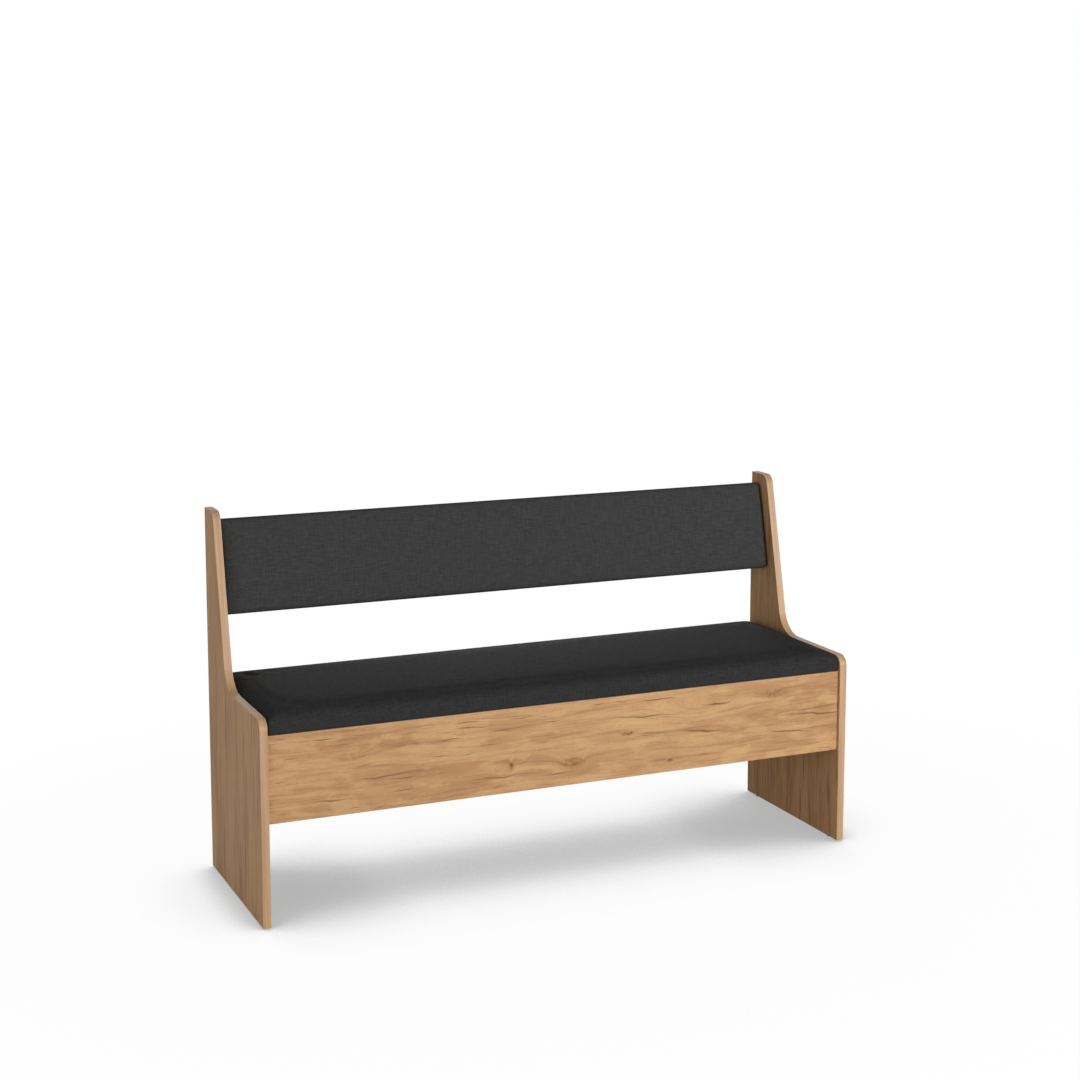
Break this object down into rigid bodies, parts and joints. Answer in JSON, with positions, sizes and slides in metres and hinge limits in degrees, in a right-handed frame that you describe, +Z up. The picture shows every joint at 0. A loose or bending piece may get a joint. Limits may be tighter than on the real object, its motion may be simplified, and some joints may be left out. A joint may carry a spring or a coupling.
{
  "type": "chest bench",
  "caption": "Straight upholstered chest bench with cut-out side panels, a reclined padded backrest and a padded seat that lifts on hinges over a storage box.",
  "frame": {"origin": "middle of the bench's footprint, on the floor under the glides", "axes": "+X along the bench to the sitter's left, +Y towards the back, +Z up"},
  "size_m": [1.43, 0.43, 0.84],
  "materials": {
    "oak_laminate": "satin",
    "oak_edge": "satin",
    "chest_board": "matte",
    "softwood": "matte",
    "zinc_steel": "satin",
    "charcoal_fabric": "matte",
    "black_lining": "matte",
    "foam": "matte",
    "glide_plastic": "matte",
    "bumper_rubber": "matte"
  },
  "bodies": {
    "frame": {"left_side_panel": "oak_laminate", "right_side_panel": "oak_laminate", "left_edge_band": "oak_edge", "right_edge_band": "oak_edge", "floor_glides": "glide_plastic", "front_apron": "oak_laminate", "apron_edge_bands": "oak_edge", "rear_panel": "oak_laminate", "rear_panel_edge_bands": "oak_edge", "front_floor_batten": "softwood", "rear_floor_batten": "softwood", "batten_screws": "zinc_steel", "storage_floor": "chest_board", "cam_discs": "zinc_steel", "cam_bolts": "zinc_steel", "wood_dowels": "softwood", "lid_bumpers": "bumper_rubber", "backrest_board": "chest_board", "backrest_foam": "foam", "backrest_cover": "charcoal_fabric", "backrest_lining": "black_lining", "backrest_brackets": "zinc_steel", "bracket_screws": "zinc_steel", "hinge_fixed_leaves": "zinc_steel", "hinge_pins": "zinc_steel", "hinge_fixed_screws": "zinc_steel"},
    "seat_lid": {"seat_board": "chest_board", "seat_foam": "foam", "seat_cover": "charcoal_fabric", "seat_lining": "black_lining", "hinge_lid_leaves": "zinc_steel", "hinge_lid_screws": "zinc_steel"}
  },
  "joints": [
    {"name": "seat_lift", "type": "hinge", "parent": "frame", "child": "seat_lid", "pos_m": [0, 0.1549, 0.4141], "axis": [-1, 0, 0], "range_deg": [0, 62]}
  ]
}
